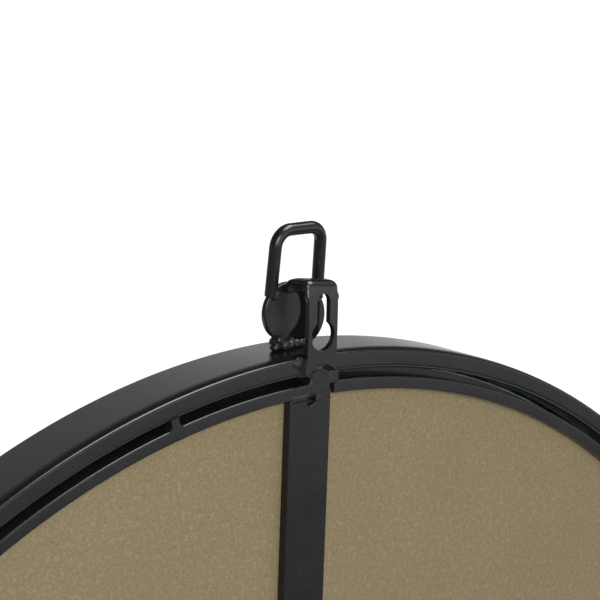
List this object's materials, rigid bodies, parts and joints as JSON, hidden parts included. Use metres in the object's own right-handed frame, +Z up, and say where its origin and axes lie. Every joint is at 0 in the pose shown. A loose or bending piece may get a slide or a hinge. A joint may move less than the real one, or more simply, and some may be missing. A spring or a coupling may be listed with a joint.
{
  "type": "round wall mirror",
  "caption": "Round wall mirror in a deep black steel frame with a fibreboard back, an upright brace bar, a keyhole strap to hang it by and an upright wire loop on top.",
  "frame": {"origin": "centre of the keyhole's round hole in the strap's wall face, on the wall plane", "axes": "+Y points into the wall, -Y to the viewer, +Z up, +X to the viewer's right"},
  "size_m": [0.61, 0.0286, 0.6571],
  "materials": {
    "black_steel": "fine textured satin black powder coat",
    "weld_steel": "black powder coat over rough weld metal",
    "mirror": "silvered float glass",
    "silicone": "clear grey silicone",
    "foam": "white foam tape",
    "board": "bare brown fibreboard, finely speckled"
  },
  "bodies": {
    "root": {"outer_frame": "black_steel", "front_stop": "black_steel", "stop_tacks": "weld_steel", "mirror_glass": "mirror", "glazing_dabs": "silicone", "mounting_tape": "foam", "backing_board": "board", "retaining_ring": "black_steel", "groove_welds": "weld_steel", "top_weld": "weld_steel", "brace_bar": "black_steel", "brace_welds": "weld_steel", "hanger_strap": "black_steel", "strap_foot_welds": "weld_steel", "crest_disc": "black_steel", "disc_foot_welds": "weld_steel", "strap_lip_weld": "weld_steel", "top_loop": "black_steel", "loop_welds": "weld_steel"}
  },
  "joints": []
}
